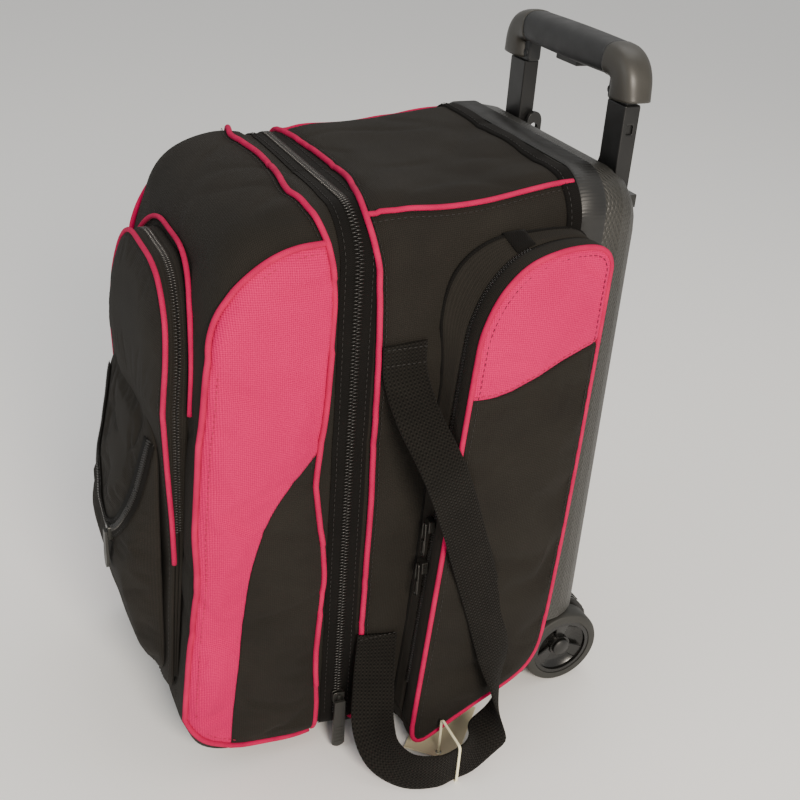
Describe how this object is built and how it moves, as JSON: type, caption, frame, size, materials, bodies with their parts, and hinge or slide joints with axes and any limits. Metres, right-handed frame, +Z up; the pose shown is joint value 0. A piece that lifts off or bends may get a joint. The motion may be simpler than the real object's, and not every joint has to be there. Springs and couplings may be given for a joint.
{
  "type": "bowling ball bag",
  "caption": "Two-ball roller bag with a zipped clamshell front, padded pockets, hard back shell, wheels, telescoping handle and webbing carry straps.",
  "frame": {"origin": "centre of the footprint box, on the floor", "axes": "+Z up along the handle; -Y towards the front pocket; +Y towards the wheels and handle; +X the side with the hang tag"},
  "size_m": [0.439, 0.468, 0.622],
  "materials": {
    "fabric": "woven nylon, matt",
    "pink": "woven nylon, matt",
    "webbing": "coarse ribbed webbing",
    "shell": "embossed, satin",
    "plastic": "satin",
    "hub": "half gloss",
    "coil": "nylon coil",
    "tie": "translucent",
    "grip": "soft touch",
    "pull": "moulded, matt",
    "foot": "matt",
    "tyre": "matt",
    "tube": "anodised black, satin",
    "steel": "plain",
    "slider": "black painted",
    "foam": "foam with a fabric face",
    "card": "plain card"
  },
  "bodies": {
    "root": {"rear_shell": "fabric", "main_zipper_rear": "coil", "bottom_hinge_strip": "fabric", "back_shell": "shell", "base_tray": "plastic", "ball_cup_lower": "foam", "ball_cup_upper": "foam", "ball_divider": "foam", "outer_tube_right": "tube", "outer_tube_left": "tube", "collar_right": "plastic", "collar_left": "plastic", "wheel_housing_right": "plastic", "wheel_housing_left": "plastic", "wheel_axle_right": "steel", "wheel_axle_left": "steel", "foot_right": "foot", "foot_left": "foot", "side_pocket_tub_right": "fabric", "side_pocket_tub_left": "fabric", "carry_strap_right": "webbing", "carry_strap_left": "webbing", "hang_tag": "card", "tag_tie": "tie"},
    "front_cover": {"front_shell": "fabric", "main_zipper_front": "coil", "front_pocket_tub": "fabric"},
    "front_door": {"front_pocket_door": "fabric"},
    "front_slider": {"front_pocket_slider": "slider"},
    "front_pull": {"front_pocket_pull": "pull"},
    "pouch_body": {"pouch": "fabric"},
    "pouch_slider_body": {"pouch_slider": "slider"},
    "pouch_pull_body": {"pouch_pull": "pull"},
    "handle_mid": {"mid_tube_right": "tube", "mid_tube_left": "tube"},
    "handle_top": {"grip_bar": "grip", "grip_end_right": "grip", "grip_end_left": "grip", "top_tube_right": "tube", "top_tube_left": "tube"},
    "button": {"release_button": "plastic"},
    "wheel_right": {"wheel_tyre_right": "tyre", "wheel_hub_right": "hub"},
    "wheel_left": {"wheel_tyre_left": "tyre", "wheel_hub_left": "hub"},
    "side_door_right": {"side_pocket_door_right": "pink"},
    "side_door_left": {"side_pocket_door_left": "pink"},
    "main_slider_right_body": {"main_slider_right": "slider"},
    "main_slider_left_body": {"main_slider_left": "slider"},
    "main_pull_right_body": {"main_pull_right": "pull"},
    "main_pull_left_body": {"main_pull_left": "pull"},
    "side_slider_upper_right": {"pocket_slider_upper_right": "slider"},
    "side_slider_upper_left": {"pocket_slider_upper_left": "slider"},
    "side_slider_lower_right": {"pocket_slider_lower_right": "slider"},
    "side_slider_lower_left": {"pocket_slider_lower_left": "slider"},
    "side_pull_upper_right": {"pocket_pull_upper_right": "slider"},
    "side_pull_upper_left": {"pocket_pull_upper_left": "slider"},
    "side_pull_lower_right": {"pocket_pull_lower_right": "slider"},
    "side_pull_lower_left": {"pocket_pull_lower_left": "slider"}
  },
  "joints": [
    {"name": "front_cover_hinge", "type": "hinge", "parent": "root", "child": "front_cover", "pos_m": [0, -0.052, 0.014], "axis": [1, 0, 0], "range_deg": [0, 90]},
    {"name": "front_door_hinge", "type": "hinge", "parent": "front_cover", "child": "front_door", "pos_m": [0, -0.19, 0.062], "axis": [1, 0, 0], "range_deg": [0, 60]},
    {"name": "front_slider_travel", "type": "slide", "parent": "front_cover", "child": "front_slider", "axis": [0, 0.0549, 0.9985], "range_m": [-0.15, 0.08]},
    {"name": "front_pull_swing", "type": "hinge", "parent": "front_slider", "child": "front_pull", "pos_m": [-0.103, -0.1853, 0.306], "axis": [0, 1, 0], "range_deg": [0, 120]},
    {"name": "pouch_hinge", "type": "hinge", "parent": "front_door", "child": "pouch_body", "pos_m": [0, -0.1978, 0.076], "axis": [1, 0, 0], "range_deg": [0, 25]},
    {"name": "pouch_slider_travel", "type": "slide", "parent": "pouch_body", "child": "pouch_slider_body", "axis": [1, 0, 0], "range_m": [-0.065, 0.01]},
    {"name": "pouch_pull_swing", "type": "hinge", "parent": "pouch_slider_body", "child": "pouch_pull_body", "pos_m": [0.03, -0.2328, 0.21], "axis": [-1, 0, 0], "range_deg": [0, 100]},
    {"name": "handle_mid_slide", "type": "slide", "parent": "root", "child": "handle_mid", "axis": [0, 0, 1], "range_m": [-0.048, 0.2]},
    {"name": "handle_top_slide", "type": "slide", "parent": "handle_mid", "child": "handle_top", "axis": [0, 0, 1], "range_m": [0, 0.22]},
    {"name": "release_button_press", "type": "slide", "parent": "handle_top", "child": "button", "axis": [0, 0, 1], "range_m": [0, 0.004], "stiffness_N_per_m": 300},
    {"name": "wheel_right_spin", "type": "hinge", "parent": "root", "child": "wheel_right", "pos_m": [0.116, 0.192, 0.04], "axis": [1, 0, 0], "continuous": true},
    {"name": "wheel_left_spin", "type": "hinge", "parent": "root", "child": "wheel_left", "pos_m": [-0.116, 0.192, 0.04], "axis": [1, 0, 0], "continuous": true},
    {"name": "side_door_right_hinge", "type": "hinge", "parent": "root", "child": "side_door_right", "pos_m": [0.1502, 0.147, 0.25], "axis": [0, 0, 1], "range_deg": [0, 75], "deforming": ["carry_strap_right", "tag_tie"]},
    {"name": "side_door_left_hinge", "type": "hinge", "parent": "root", "child": "side_door_left", "pos_m": [-0.1502, 0.147, 0.25], "axis": [0, 0, -1], "range_deg": [0, 75], "deforming": ["carry_strap_left"]},
    {"name": "main_slider_right_travel", "type": "slide", "parent": "root", "child": "main_slider_right_body", "axis": [0, 0, 1], "range_m": [0, 0.36]},
    {"name": "main_slider_left_travel", "type": "slide", "parent": "root", "child": "main_slider_left_body", "axis": [0, 0, 1], "range_m": [0, 0.36]},
    {"name": "main_pull_right_swing", "type": "hinge", "parent": "main_slider_right_body", "child": "main_pull_right_body", "pos_m": [0.1404, -0.052, 0.056], "axis": [0, -1, 0], "range_deg": [0, 150]},
    {"name": "main_pull_left_swing", "type": "hinge", "parent": "main_slider_left_body", "child": "main_pull_left_body", "pos_m": [-0.1404, -0.052, 0.056], "axis": [0, 1, 0], "range_deg": [0, 150]},
    {"name": "side_slider_upper_right_travel", "type": "slide", "parent": "root", "child": "side_slider_upper_right", "axis": [0, 0.0716, 0.9974], "range_m": [0, 0.05]},
    {"name": "side_slider_upper_left_travel", "type": "slide", "parent": "root", "child": "side_slider_upper_left", "axis": [0, 0.0716, 0.9974], "range_m": [0, 0.05]},
    {"name": "side_slider_lower_right_travel", "type": "slide", "parent": "root", "child": "side_slider_lower_right", "axis": [0, 0.0716, 0.9974], "range_m": [-0.1, 0]},
    {"name": "side_slider_lower_left_travel", "type": "slide", "parent": "root", "child": "side_slider_lower_left", "axis": [0, 0.0716, 0.9974], "range_m": [-0.1, 0]},
    {"name": "side_pull_upper_right_swing", "type": "hinge", "parent": "side_slider_upper_right", "child": "side_pull_upper_right", "pos_m": [0.15, 0.0128, 0.242], "axis": [-1, 0, 0], "range_deg": [0, 100]},
    {"name": "side_pull_upper_left_swing", "type": "hinge", "parent": "side_slider_upper_left", "child": "side_pull_upper_left", "pos_m": [-0.15, 0.0128, 0.242], "axis": [-1, 0, 0], "range_deg": [0, 100]},
    {"name": "side_pull_lower_right_swing", "type": "hinge", "parent": "side_slider_lower_right", "child": "side_pull_lower_right", "pos_m": [0.15, 0.0098, 0.2], "axis": [-1, 0, 0], "range_deg": [0, 100]},
    {"name": "side_pull_lower_left_swing", "type": "hinge", "parent": "side_slider_lower_left", "child": "side_pull_lower_left", "pos_m": [-0.15, 0.0098, 0.2], "axis": [-1, 0, 0], "range_deg": [0, 100]}
  ]
}
